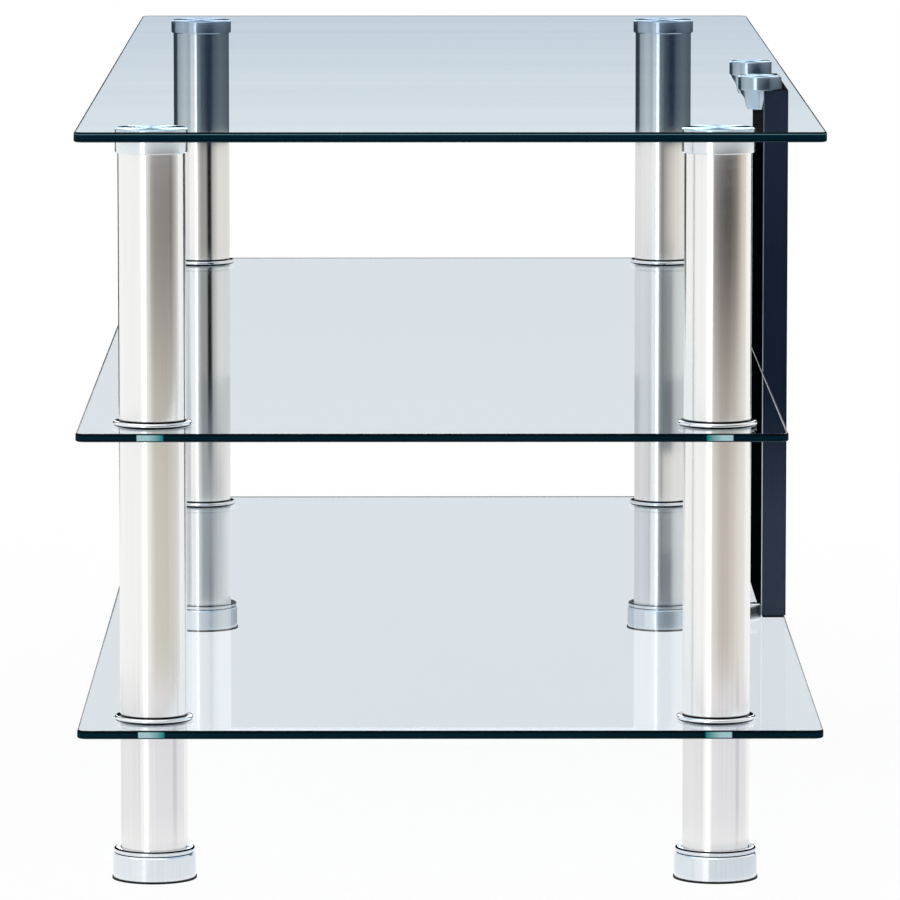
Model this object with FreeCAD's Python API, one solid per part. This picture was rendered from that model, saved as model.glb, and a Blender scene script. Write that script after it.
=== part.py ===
import FreeCAD, Part
import os

# Three-tier glass television stand, in millimetres.
# X runs along the stand, -Y is the front, +Z is up.
# The origin is on the floor, under the middle of the top glass.

# Overall sizes
LENGTH = 1100.0
DEPTH = 440.0
HEIGHT = 448.0

# Tempered glass plates with pencil-polished edges
TOP_THICKNESS = 6.0
SHELF_THICKNESS = 5.0
GROUND_CLEARANCE = 90.0
GLASS_CORNER_RADIUS = 6.0
GLASS_EDGE_ROUND = 1.2
SHELF_HOLE_DIAMETER = 16.0
SHELF_HOLE_ARRIS = 0.5

# Round legs, each in three tubes with a shelf clamped at each joint
LEG_INSET_END = 44.0
LEG_INSET_FRONT = 44.0
LEG_INSET_REAR = 62.0
TUBE_DIAMETER = 40.0
TUBE_WALL = 1.2

# Film of clear adhesive between a bonded disc and the glass
BOND_LINE = 0.1

# Caps bonded under the top glass
CAP_OVERHANG = 1.5
CAP_HEIGHT = 9.0
CAP_EDGE_CHAMFER = 0.6
CAP_SOCKET_DEPTH = 7.0

# Clear gaskets on both sides of a shelf, and the bull-nosed trim rings on it
GASKET_INSET = 0.2
GASKET_THICKNESS = 0.8
RING_WIDTH = 3.4
RING_HEIGHT = 3.2
RING_GAP = 0.15

# Moulded plugs pressed into the tube ends, and the studs that join them
PLUG_LENGTH = 14.0
PLUG_GAP = 0.05
PLUG_END_THICKNESS = 4.0
PLUG_SKIRT_WALL = 2.0
PLUG_HUB_WALL = 3.5
PLUG_WEB_THICKNESS = 1.8
STUD_DIAMETER = 8.0
STUD_GAP = 0.05
STUD_GRIP = 12.0

# Levelling feet: a cup with a bead round the tube's end, its bolt and its dark base
FOOT_OVERHANG = 4.6
FOOT_BODY_HEIGHT = 15.5
FOOT_BODY_CHAMFER = 0.8
FOOT_BEAD_OVERHANG = 4.2
FOOT_BEAD_HEIGHT = 3.5
FOOT_SOCKET_DEPTH = 10.0
FOOT_SOCKET_GAP = 0.3
FOOT_BASE_OVERHANG = 5.2
FOOT_BASE_THICKNESS = 1.2
FOOT_BOLT_HEAD_DIAMETER = 13.0
FOOT_BOLT_HEAD_HEIGHT = 4.5

# Black board that props the top glass, flush with its rear edge
PANEL_WIDTH = 160.0
PANEL_THICKNESS = 16.0
PANEL_TO_SHELF_GAP = 5.5
PANEL_EDGE_ROUND = 0.8
PANEL_PAD_THICKNESS = 1.5
PANEL_PAD_INSET = 1.0

# Bonded discs that hold the board: two brackets above it, two stops at the corners of its foot
BRACKET_DIAMETER = 28.0
BRACKET_HEIGHT = 9.0
BRACKET_INSET = 11.0
BRACKET_FORWARD = 2.0
BRACKET_EDGE_CHAMFER = 0.6
LUG_TOP_RADIUS = 13.0
LUG_BOTTOM_RADIUS = 8.0
LUG_HEIGHT = 12.5
STOP_GAP = 0.2
SCREW_DIAMETER = 4.0
SCREW_BITE = 11.0
SCREW_HEAD_DIAMETER = 7.0
SCREW_HEAD_HEIGHT = 2.4
SCREW_SEAT_THICKNESS = 4.5
SCREW_GAP = 0.05
SCREW_HEAD_GAP = 0.3

# Levels and places that follow from the sizes above
BAY_HEIGHT = (HEIGHT - TOP_THICKNESS - 2 * SHELF_THICKNESS - GROUND_CLEARANCE) / 2
BOTTOM_SHELF_Z = GROUND_CLEARANCE
MIDDLE_SHELF_Z = BOTTOM_SHELF_Z + SHELF_THICKNESS + BAY_HEIGHT
TOP_GLASS_Z = HEIGHT - TOP_THICKNESS
CAP_TOP_Z = TOP_GLASS_Z - BOND_LINE
CAP_Z = CAP_TOP_Z - CAP_HEIGHT
CAP_DIAMETER = TUBE_DIAMETER + 2 * CAP_OVERHANG
TUBE_BORE = TUBE_DIAMETER - 2 * TUBE_WALL
STUD_HOLE = STUD_DIAMETER + 2 * STUD_GAP
PLUG_DIAMETER = TUBE_BORE - 2 * PLUG_GAP
PLUG_POCKET_DIAMETER = PLUG_DIAMETER - 2 * PLUG_SKIRT_WALL
PLUG_HUB_DIAMETER = STUD_HOLE + 2 * PLUG_HUB_WALL
FOOT_RIM_Z = FOOT_BODY_HEIGHT + FOOT_BEAD_HEIGHT
FOOT_FLOOR_Z = FOOT_RIM_Z - FOOT_SOCKET_DEPTH
FRONT_Y = -DEPTH / 2
REAR_Y = DEPTH / 2
PANEL_FRONT_Y = REAR_Y - PANEL_THICKNESS
MIDDLE_SHELF_REAR_Y = PANEL_FRONT_Y - PANEL_TO_SHELF_GAP
PANEL_BOTTOM_Z = BOTTOM_SHELF_Z + SHELF_THICKNESS + PANEL_PAD_THICKNESS
PANEL_TOP_Z = TOP_GLASS_Z - BOND_LINE - BRACKET_HEIGHT
SCREW_Z = PANEL_TOP_Z - LUG_HEIGHT / 2
SCREW_SEAT_Y = PANEL_FRONT_Y - SCREW_SEAT_THICKNESS
SCREW_TIP_Y = PANEL_FRONT_Y + SCREW_BITE
BRACKET_Y = PANEL_FRONT_Y - BRACKET_FORWARD
STOP_Y = PANEL_FRONT_Y - STOP_GAP - BRACKET_DIAMETER / 2

LEG_X = LENGTH / 2 - LEG_INSET_END
LEG_FRONT_Y = FRONT_Y + LEG_INSET_FRONT
LEG_REAR_Y = REAR_Y - LEG_INSET_REAR
LEGS = {
    "front_left": (-LEG_X, LEG_FRONT_Y),
    "front_right": (LEG_X, LEG_FRONT_Y),
    "rear_left": (-LEG_X, LEG_REAR_Y),
    "rear_right": (LEG_X, LEG_REAR_Y),
}
TUBE_SPANS = {
    "upper": (MIDDLE_SHELF_Z + SHELF_THICKNESS + GASKET_THICKNESS, CAP_Z),
    "middle": (
        BOTTOM_SHELF_Z + SHELF_THICKNESS + GASKET_THICKNESS,
        MIDDLE_SHELF_Z - GASKET_THICKNESS,
    ),
    "lower": (FOOT_FLOOR_Z, BOTTOM_SHELF_Z - GASKET_THICKNESS),
}
SHELVES = {"middle": MIDDLE_SHELF_Z, "bottom": BOTTOM_SHELF_Z}
STOP_PLACES = {"left": -PANEL_WIDTH / 2, "right": PANEL_WIDTH / 2}
BRACKET_PLACES = {"left": -PANEL_WIDTH / 2 + BRACKET_INSET, "right": PANEL_WIDTH / 2 - BRACKET_INSET}

FLATNESS = 0.001
UP = FreeCAD.Vector(0, 0, 1)
REARWARD = FreeCAD.Vector(0, 1, 0)


def point(x, y, z):
    return FreeCAD.Vector(x, y, z)


def cylinder(diameter, bottom, top, x=0.0, y=0.0):
    return Part.makeCylinder(diameter / 2, top - bottom, point(x, y, bottom), UP)


def rod_rearward(diameter, x, front, rear, z):
    return Part.makeCylinder(diameter / 2, rear - front, point(x, front, z), REARWARD)


def line(start, end):
    """Straight side of a turned profile, between two (radius, height) points."""
    return Part.makeLine(point(start[0], 0, start[1]), point(end[0], 0, end[1]))


def arc(start, through, end):
    """Round side of a turned profile, through three (radius, height) points."""
    ends = [point(radius, 0, height) for radius, height in (start, through, end)]
    return Part.Arc(*ends).toShape()


def bull_nose(outer, low, high):
    """Half circle that bulges out to the radius outer, from low up to high."""
    nose = (high - low) / 2
    return arc((outer - nose, low), (outer, low + nose), (outer - nose, high))


def turned(sides):
    """Solid of revolution about the vertical axis from the sides of a closed profile."""
    return Part.Face(Part.Wire(sides)).revolve(point(0, 0, 0), UP, 360)


def at_leg(shape, leg):
    placed = shape.copy()
    placed.translate(point(LEGS[leg][0], LEGS[leg][1], 0))
    return placed


def at_every_leg(shapes):
    """One group with a copy of each shape at each of the four legs."""
    return Part.makeCompound([at_leg(shape, leg) for leg in LEGS for shape in shapes])


def upright_edges(solid):
    """Edges that climb from the bottom to the top of a plate or board."""
    return [edge for edge in solid.Edges if edge.BoundBox.ZLength > FLATNESS]


def flat_outline_edges(solid):
    """Edges that run round the top and the bottom face of a plate or disc."""
    return [edge for edge in solid.Edges if edge.BoundBox.ZLength < FLATNESS]


def glass_plate(rear_y, bottom, thickness):
    """Plate with rounded corners and pencil-polished edges, from the front edge to rear_y."""
    plate = Part.makeBox(LENGTH, rear_y - FRONT_Y, thickness, point(-LENGTH / 2, FRONT_Y, bottom))
    plate = plate.makeFillet(GLASS_CORNER_RADIUS, upright_edges(plate))
    return plate.makeFillet(GLASS_EDGE_ROUND, flat_outline_edges(plate))


def drilling(bottom):
    """What a drill and its countersinks take out of a shelf: a bore with an arris at each face."""
    top = bottom + SHELF_THICKNESS
    bore = SHELF_HOLE_DIAMETER / 2
    mouth = bore + SHELF_HOLE_ARRIS
    return turned([
        line((0, bottom), (mouth, bottom)),
        line((mouth, bottom), (bore, bottom + SHELF_HOLE_ARRIS)),
        line((bore, bottom + SHELF_HOLE_ARRIS), (bore, top - SHELF_HOLE_ARRIS)),
        line((bore, top - SHELF_HOLE_ARRIS), (mouth, top)),
        line((mouth, top), (0, top)),
        line((0, top), (0, bottom)),
    ])


def shelf(rear_y, bottom):
    """Shelf plate drilled for the stud of each leg."""
    plate = glass_plate(rear_y, bottom, SHELF_THICKNESS)
    return plate.cut(at_every_leg([drilling(bottom)]))


def leg_cap():
    """Disc bonded under the top glass, with a blind threaded socket in its underside."""
    disc = cylinder(CAP_DIAMETER, CAP_Z, CAP_TOP_Z)
    disc = disc.makeChamfer(CAP_EDGE_CHAMFER, flat_outline_edges(disc))
    socket = cylinder(STUD_HOLE, CAP_Z, CAP_Z + CAP_SOCKET_DEPTH)
    return disc.cut(socket)


def tube(span):
    outside = cylinder(TUBE_DIAMETER, *span)
    return outside.cut(cylinder(TUBE_BORE, *span))


def cross_webs(span, thickness, low, high):
    """Two upright plates that cross on the axis."""
    along = Part.makeBox(span, thickness, high - low, point(-span / 2, -thickness / 2, low))
    across = Part.makeBox(thickness, span, high - low, point(-thickness / 2, -span / 2, low))
    return along.fuse(across)


def plug(end, inward):
    """Plug flush with one end of a tube; inward is +1 or -1 along the tube.

    A disc closes the tube's end. Behind it, webs join the skirt in the tube to the stud's threaded hub.
    """
    inner = end + inward * PLUG_LENGTH
    back = end + inward * PLUG_END_THICKNESS
    whole = sorted((end, inner))
    hollow = sorted((back, inner))
    body = cylinder(PLUG_DIAMETER, *whole)
    pockets = cylinder(PLUG_POCKET_DIAMETER, *hollow).cut(cylinder(PLUG_HUB_DIAMETER, *hollow))
    pockets = pockets.cut(cross_webs(PLUG_DIAMETER, PLUG_WEB_THICKNESS, *hollow))
    return body.cut(pockets).cut(cylinder(STUD_HOLE, *whole))


def gasket(bottom):
    top = bottom + GASKET_THICKNESS
    washer = cylinder(TUBE_DIAMETER - 2 * GASKET_INSET, bottom, top)
    return washer.cut(cylinder(STUD_HOLE, bottom, top))


def shelf_gaskets(shelf_z):
    return [gasket(shelf_z + SHELF_THICKNESS), gasket(shelf_z - GASKET_THICKNESS)]


def shelf_stud(shelf_z):
    """Double-ended stud through a shelf into the plugs above and below it."""
    reach = GASKET_THICKNESS + STUD_GRIP
    return cylinder(STUD_DIAMETER, shelf_z - reach, shelf_z + SHELF_THICKNESS + reach)


def cap_stud():
    return cylinder(STUD_DIAMETER, CAP_Z - STUD_GRIP, CAP_Z + CAP_SOCKET_DEPTH)


def trim_ring(shelf_z):
    """Bull-nosed ring that lies on a shelf round the foot of a tube."""
    low = shelf_z + SHELF_THICKNESS
    crown = low + RING_HEIGHT
    inner = TUBE_DIAMETER / 2 + RING_GAP
    outer = inner + RING_WIDTH
    flat = outer - RING_HEIGHT / 2
    return turned([
        line((inner, low), (flat, low)),
        bull_nose(outer, low, crown),
        line((flat, crown), (inner, crown)),
        line((inner, crown), (inner, low)),
    ])


def foot_cup():
    """Plated cup with a bead round its mouth, bored for its bolt and the bolt's head."""
    outer = TUBE_DIAMETER / 2 + FOOT_OVERHANG
    bead = TUBE_DIAMETER / 2 + FOOT_BEAD_OVERHANG
    bead_root = bead - FOOT_BEAD_HEIGHT / 2
    socket = TUBE_DIAMETER / 2 + FOOT_SOCKET_GAP
    bolt = STUD_HOLE / 2
    head = FOOT_BOLT_HEAD_DIAMETER / 2 + STUD_GAP
    low = FOOT_BASE_THICKNESS
    head_top = low + FOOT_BOLT_HEAD_HEIGHT
    body_top = FOOT_BODY_HEIGHT
    return turned([
        line((head, low), (outer, low)),
        line((outer, low), (outer, body_top - FOOT_BODY_CHAMFER)),
        line((outer, body_top - FOOT_BODY_CHAMFER), (outer - FOOT_BODY_CHAMFER, body_top)),
        line((outer - FOOT_BODY_CHAMFER, body_top), (bead_root, body_top)),
        bull_nose(bead, body_top, FOOT_RIM_Z),
        line((bead_root, FOOT_RIM_Z), (socket, FOOT_RIM_Z)),
        line((socket, FOOT_RIM_Z), (socket, FOOT_FLOOR_Z)),
        line((socket, FOOT_FLOOR_Z), (bolt, FOOT_FLOOR_Z)),
        line((bolt, FOOT_FLOOR_Z), (bolt, head_top)),
        line((bolt, head_top), (head, head_top)),
        line((head, head_top), (head, low)),
    ])


def foot_bolt():
    """Bolt held by its head in the cup, which screws into the plug of the lower tube."""
    low = FOOT_BASE_THICKNESS
    head = cylinder(FOOT_BOLT_HEAD_DIAMETER, low, low + FOOT_BOLT_HEAD_HEIGHT)
    shank = cylinder(STUD_DIAMETER, low, FOOT_FLOOR_Z + STUD_GRIP)
    return head.fuse(shank).removeSplitter()


def foot_base():
    return cylinder(TUBE_DIAMETER + 2 * FOOT_BASE_OVERHANG, 0, FOOT_BASE_THICKNESS)


def screw_hole(x, front, rear):
    return rod_rearward(SCREW_DIAMETER + 2 * SCREW_GAP, x, front, rear, SCREW_Z)


def back_panel():
    """Board on its pad, with its upright edges eased and a pilot hole for each bracket screw."""
    board = Part.makeBox(PANEL_WIDTH, PANEL_THICKNESS, PANEL_TOP_Z - PANEL_BOTTOM_Z,
                         point(-PANEL_WIDTH / 2, PANEL_FRONT_Y, PANEL_BOTTOM_Z))
    board = board.makeFillet(PANEL_EDGE_ROUND, upright_edges(board))
    for x in BRACKET_PLACES.values():
        board = board.cut(screw_hole(x, PANEL_FRONT_Y, SCREW_TIP_Y))
    return board


def panel_pad():
    return Part.makeBox(PANEL_WIDTH - 2 * PANEL_PAD_INSET, PANEL_THICKNESS - 2 * PANEL_PAD_INSET,
                        PANEL_PAD_THICKNESS,
                        point(-PANEL_WIDTH / 2 + PANEL_PAD_INSET, PANEL_FRONT_Y + PANEL_PAD_INSET,
                              PANEL_BOTTOM_Z - PANEL_PAD_THICKNESS))


def bonded_disc(x, y, bottom):
    disc = cylinder(BRACKET_DIAMETER, bottom, bottom + BRACKET_HEIGHT, x, y)
    return disc.makeChamfer(BRACKET_EDGE_CHAMFER, flat_outline_edges(disc))


def panel_bracket(x):
    """Disc partly over the board, with a tapered lug that lies on the board's front face."""
    disc = bonded_disc(x, BRACKET_Y, PANEL_TOP_Z)
    lug = Part.makeCone(LUG_BOTTOM_RADIUS, LUG_TOP_RADIUS, LUG_HEIGHT,
                        point(x, BRACKET_Y, PANEL_TOP_Z - LUG_HEIGHT), UP)
    behind = Part.makeBox(2 * LUG_TOP_RADIUS, LUG_TOP_RADIUS, LUG_HEIGHT,
                          point(x - LUG_TOP_RADIUS, PANEL_FRONT_Y, PANEL_TOP_Z - LUG_HEIGHT))
    head_recess = rod_rearward(SCREW_HEAD_DIAMETER + 2 * SCREW_HEAD_GAP, x,
                               BRACKET_Y - LUG_TOP_RADIUS, SCREW_SEAT_Y, SCREW_Z)
    bracket = disc.fuse(lug.cut(behind)).removeSplitter()
    return bracket.cut(screw_hole(x, SCREW_SEAT_Y, PANEL_FRONT_Y)).cut(head_recess)


def panel_stop(x):
    """Disc bonded on the bottom shelf, against a front corner of the board's foot."""
    return bonded_disc(x, STOP_Y, BOTTOM_SHELF_Z + SHELF_THICKNESS + BOND_LINE)


def bracket_screw(x):
    head_front = SCREW_SEAT_Y - SCREW_HEAD_HEIGHT
    head = rod_rearward(SCREW_HEAD_DIAMETER, x, head_front, SCREW_SEAT_Y, SCREW_Z)
    shank = rod_rearward(SCREW_DIAMETER, x, head_front, SCREW_TIP_Y, SCREW_Z)
    return head.fuse(shank).removeSplitter()


def build():
    nodes = {
        "top_glass": glass_plate(REAR_Y, TOP_GLASS_Z, TOP_THICKNESS),
        "middle_shelf": shelf(MIDDLE_SHELF_REAR_Y, MIDDLE_SHELF_Z),
        "bottom_shelf": shelf(REAR_Y, BOTTOM_SHELF_Z),
    }
    for leg in LEGS:
        nodes[leg + "_cap"] = at_leg(leg_cap(), leg)
        for tier, span in TUBE_SPANS.items():
            nodes[leg + "_" + tier + "_tube"] = at_leg(tube(span), leg)
        for tier, shelf_z in SHELVES.items():
            nodes[leg + "_" + tier + "_ring"] = at_leg(trim_ring(shelf_z), leg)
        nodes[leg + "_foot_cup"] = at_leg(foot_cup(), leg)
        nodes[leg + "_foot_bolt"] = at_leg(foot_bolt(), leg)
        nodes[leg + "_foot_base"] = at_leg(foot_base(), leg)
    for tier, (low, high) in TUBE_SPANS.items():
        nodes[tier + "_tube_plugs"] = at_every_leg([plug(low, 1), plug(high, -1)])
    for tier, shelf_z in SHELVES.items():
        nodes[tier + "_shelf_gaskets"] = at_every_leg(shelf_gaskets(shelf_z))
        nodes[tier + "_shelf_studs"] = at_every_leg([shelf_stud(shelf_z)])
    nodes["cap_studs"] = at_every_leg([cap_stud()])
    nodes["back_panel"] = back_panel()
    nodes["panel_pad"] = panel_pad()
    for side, x in BRACKET_PLACES.items():
        nodes[side + "_panel_bracket"] = panel_bracket(x)
    for side, x in STOP_PLACES.items():
        nodes[side + "_panel_stop"] = panel_stop(x)
    nodes["bracket_screws"] = Part.makeCompound([bracket_screw(x) for x in BRACKET_PLACES.values()])
    return nodes


os.makedirs("parts", exist_ok=True)
for name, shape in build().items():
    shape.exportStep("parts/" + name + ".step")
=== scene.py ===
import math

import bpy
import numpy as np
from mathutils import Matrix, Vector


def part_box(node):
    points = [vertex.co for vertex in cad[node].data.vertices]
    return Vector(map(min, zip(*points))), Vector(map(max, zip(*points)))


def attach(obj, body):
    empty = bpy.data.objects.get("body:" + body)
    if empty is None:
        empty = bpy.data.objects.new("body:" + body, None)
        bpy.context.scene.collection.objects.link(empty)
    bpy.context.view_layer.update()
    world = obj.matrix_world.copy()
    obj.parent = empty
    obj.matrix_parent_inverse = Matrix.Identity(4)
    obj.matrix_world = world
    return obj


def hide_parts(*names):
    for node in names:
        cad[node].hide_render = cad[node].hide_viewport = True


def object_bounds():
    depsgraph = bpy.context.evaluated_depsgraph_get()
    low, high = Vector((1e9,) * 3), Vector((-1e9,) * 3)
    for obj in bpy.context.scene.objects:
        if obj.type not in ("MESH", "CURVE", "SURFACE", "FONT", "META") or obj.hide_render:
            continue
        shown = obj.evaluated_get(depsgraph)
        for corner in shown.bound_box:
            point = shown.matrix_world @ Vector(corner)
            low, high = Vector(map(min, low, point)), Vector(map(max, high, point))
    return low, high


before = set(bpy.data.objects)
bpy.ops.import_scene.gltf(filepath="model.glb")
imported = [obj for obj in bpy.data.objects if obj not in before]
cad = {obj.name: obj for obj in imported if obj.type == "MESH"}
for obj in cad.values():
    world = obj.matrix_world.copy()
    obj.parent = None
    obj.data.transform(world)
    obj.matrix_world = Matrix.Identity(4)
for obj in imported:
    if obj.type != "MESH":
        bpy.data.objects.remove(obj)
cad_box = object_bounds()

# Foot bases. A disc of black rubber glued under each foot keeps it from marking the floor.
# It is moulded in a blasted tool, so it is matt, with a fine even grain and a faint bloom.
LEGS = ("front_left", "front_right", "rear_left", "rear_right")


def linear(hex_colour):
    """Linear red, green, blue and alpha of an sRGB hex colour, by the curve of the sRGB standard."""
    srgb = np.array([int(hex_colour[i:i + 2], 16) for i in (1, 3, 5)]) / 255
    light = np.where(srgb <= 0.04045, srgb / 12.92, ((srgb + 0.055) / 1.055) ** 2.4)
    return (*light.tolist(), 1.0)


def add_node(tree, kind, settings=None, links=None):
    """Adds a shader node. A setting goes to the input of that name or number, or else to the node itself.

    The setting "stops" fills a colour ramp: pairs of a place from 0 to 1 and a hex colour. A link comes from
    a socket, or from the first output of a node.
    """
    node = tree.nodes.new("ShaderNode" + kind)
    for key, value in (settings or {}).items():
        if key == "stops":
            elements = node.color_ramp.elements
            elements.remove(elements[1])
            elements[0].position = value[0][0]
            elements[0].color = linear(value[0][1])
            for at, tone in value[1:]:
                elements.new(at).color = linear(tone)
        elif isinstance(key, int) or key in node.inputs:
            node.inputs[key].default_value = value
        else:
            setattr(node, key, value)
    for key, source in (links or {}).items():
        socket = source.outputs[0] if isinstance(source, bpy.types.Node) else source
        tree.links.new(socket, node.inputs[key])
    return node


def start_material(name):
    """A new material with an empty tree, and its Object coordinates in metres."""
    material = bpy.data.materials.new(name)
    material.use_nodes = True
    tree = material.node_tree
    tree.nodes.clear()
    place = add_node(tree, "TexCoord").outputs["Object"]
    return material, tree, place


def finish_nodes(names, material):
    """Gives each named CAD node the material."""
    for name in names:
        cad[name].material_slots[0].material = material


def moulded_rubber():
    """Black rubber from a blasted mould: matt, grained at half a millimetre, with a grey bloom."""
    grain_mm = 0.5
    bloom_mm = 14.0
    material, tree, place = start_material("moulded_black_rubber")
    grain = add_node(tree, "TexNoise", {"Scale": 1000 / grain_mm, "Detail": 2.0}, {"Vector": place})
    bloom = add_node(tree, "TexNoise", {"Scale": 1000 / bloom_mm, "Detail": 4.0}, {"Vector": place})
    colour = add_node(tree, "Mix", {"data_type": "RGBA", 6: linear("#050607"), 7: linear("#111213")},
                      {0: bloom})
    rough = add_node(tree, "MapRange", {"To Min": 0.5, "To Max": 0.75}, {"Value": bloom})
    bump = add_node(tree, "Bump", {"Strength": 0.5, "Distance": 0.00006}, {"Height": grain})
    shader = add_node(tree, "BsdfPrincipled", {"IOR": 1.52, "Specular IOR Level": 0.2},
                      {"Base Color": colour.outputs[2], "Roughness": rough, "Normal": bump})
    add_node(tree, "OutputMaterial", {}, {"Surface": shader})
    return material


rubber = moulded_rubber()
finish_nodes([leg + "_foot_base" for leg in LEGS], rubber)

# Foot cups. Each is a turned steel cup, copper, nickel and chrome plated, that slides over the
# end of the lower tube and hangs on the levelling bolt. Its mouth is rolled to a round bead.
LIP_HEIGHT = 0.0015


def polished_chrome(name, dark_below, rough_least, rough_most, lip_z):
    """Bright chrome plate over turned steel: a cool mirror, drawn out upwards, with orange peel and haze.

    A surface whose normal dips more than dark_below under level faces its seat, and is painted dark there,
    a painted shade. Above lip_z the shoulders of a rolled mouth are painted black, a painted shade, on both
    sides of its bright crest.
    """
    peel_mm = 1.6
    haze_mm = 22.0
    seat_softness = 0.15
    lip_softness = 0.0002
    material, tree, place = start_material(name)
    peel = add_node(tree, "TexNoise", {"Scale": 1000 / peel_mm, "Detail": 1.0}, {"Vector": place})
    haze = add_node(tree, "TexNoise", {"Scale": 1000 / haze_mm, "Detail": 5.0}, {"Vector": place})
    plate = add_node(tree, "Mix", {"data_type": "RGBA", 6: linear("#e4eaf0"), 7: linear("#eef1f4")},
                     {0: haze})
    normal = add_node(tree, "NewGeometry").outputs["Normal"]
    upward = add_node(tree, "SeparateXYZ", {}, {0: normal}).outputs["Z"]
    # Painted shade: where the normal dips towards the seat, the plate is painted near black.
    under = add_node(tree, "MapRange", {"From Min": -dark_below, "From Max": -dark_below - seat_softness},
                     {"Value": upward})
    seated = add_node(tree, "Mix", {"data_type": "RGBA", 7: linear("#0b0c0e")},
                      {0: under, 6: plate.outputs[2]})
    # Painted shade: above lip_z the shoulders of the rolled mouth are painted black, its crest left bright.
    height = add_node(tree, "SeparateXYZ", {}, {0: place}).outputs["Z"]
    below = add_node(tree, "MapRange", {"From Min": lip_z + lip_softness, "From Max": lip_z - lip_softness},
                     {"Value": height})
    shoulder = add_node(tree, "ValToRGB", {"stops": [
        (0.46, "#ffffff"), (0.54, "#000000"), (0.94, "#000000"), (0.98, "#ffffff")]}, {0: upward})
    bright = add_node(tree, "Math", {"operation": "MAXIMUM"}, {0: below, 1: shoulder})
    colour = add_node(tree, "Mix", {"data_type": "RGBA", 6: linear("#050505")},
                      {0: bright, 7: seated.outputs[2]})
    rough = add_node(tree, "MapRange", {"To Min": rough_least, "To Max": rough_most}, {"Value": haze})
    bump = add_node(tree, "Bump", {"Strength": 0.05, "Distance": 0.00003}, {"Height": peel})
    around = add_node(tree, "Tangent", {"direction_type": "RADIAL", "axis": "Z"})
    shader = add_node(tree, "BsdfPrincipled",
                      {"Specular IOR Level": 0.0, "Anisotropic": 0.8, "Anisotropic Rotation": 0.25},
                      {"Base Color": colour.outputs[2], "Metallic": bright, "Roughness": rough,
                       "Normal": bump, "Tangent": around})
    add_node(tree, "OutputMaterial", {}, {"Surface": shader})
    return material


# The cups' rolled mouths get the painted shade on their shoulders.
cup_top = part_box("front_left_foot_cup")[1].z
cup_chrome = polished_chrome("polished_chrome_plate", dark_below=0.6, rough_least=0.16, rough_most=0.22,
                             lip_z=cup_top - LIP_HEIGHT)
finish_nodes([leg + "_foot_cup" for leg in LEGS], cup_chrome)

# Levelling bolts and studs. They are cold-headed steel with rolled threads and a thin bright zinc
# plating, and join the foot cups, the tubes, the shelves and the caps out of sight. Each keeps the
# outer size of its plain CAD solid, and its thread is cut into that.
AROUND = np.radians(np.arange(0, 360, 11.25))
ROWS_PER_PITCH = 8
SHARP_ANGLE = math.radians(35)
STUD_RADIUS = 0.004
STUD_PITCH = 0.00125
STUD_DEPTH = 0.00077
BOLT_HEAD_RADIUS = 0.0065
BOLT_HEAD_HEIGHT = 0.0045
BOLT_HEAD_CHAMFER = 0.0003


def middle_of(node):
    """The middle of a CAD node's box."""
    low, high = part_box(node)
    return (low + high) / 2


def bright_zinc():
    """Zinc plate, blue passivated: a soft grey metal with a faint spangle and a blue and yellow cast."""
    spangle_mm = 2.5
    cast_mm = 10.0
    material, tree, place = start_material("bright_zinc_plate")
    spangle = add_node(tree, "TexVoronoi", {"Scale": 1000 / spangle_mm}, {"Vector": place})
    cast = add_node(tree, "TexNoise", {"Scale": 1000 / cast_mm, "Detail": 3.0}, {"Vector": place})
    colour = add_node(tree, "Mix", {"data_type": "RGBA", 6: linear("#b7bec8"), 7: linear("#cfccc0")},
                      {0: cast})
    rough = add_node(tree, "MapRange", {"To Min": 0.22, "To Max": 0.42},
                     {"Value": spangle.outputs["Distance"]})
    shader = add_node(tree, "BsdfPrincipled", {"Metallic": 1.0},
                      {"Base Color": colour.outputs[2], "Roughness": rough})
    add_node(tree, "OutputMaterial", {}, {"Surface": shader})
    return material


def thread_rows(low, high, pitch):
    """Heights of the rings of a thread from low to high, evenly spaced."""
    return np.linspace(low, high, 1 + math.ceil(ROWS_PER_PITCH * (high - low) / pitch))


def rolled_thread(heights, crest, pitch, depth):
    """Radius of a right-hand thread at each height and turn: the crest's less the depth times a wave.

    The wave's place is height over pitch less the share of a whole turn. It is nought for an eighth of the
    pitch at the crest, one for a quarter of it at the root, and runs straight between them.
    """
    crest_half = 1 / 16
    root_half = 1 / 8
    place = (heights[:, None] / pitch - AROUND / (2 * math.pi)) % 1
    from_crest = np.minimum(place, 1 - place)
    return crest - depth * np.clip((from_crest - crest_half) / (0.5 - root_half - crest_half), 0, 1)


def stud_radii(heights, length):
    """Thread of a stud with cut ends: no further out than the root plus the distance from an end."""
    from_end = np.minimum(heights, length - heights)
    return np.minimum(rolled_thread(heights, STUD_RADIUS, STUD_PITCH, STUD_DEPTH),
                      STUD_RADIUS - STUD_DEPTH + from_end[:, None])


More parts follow.
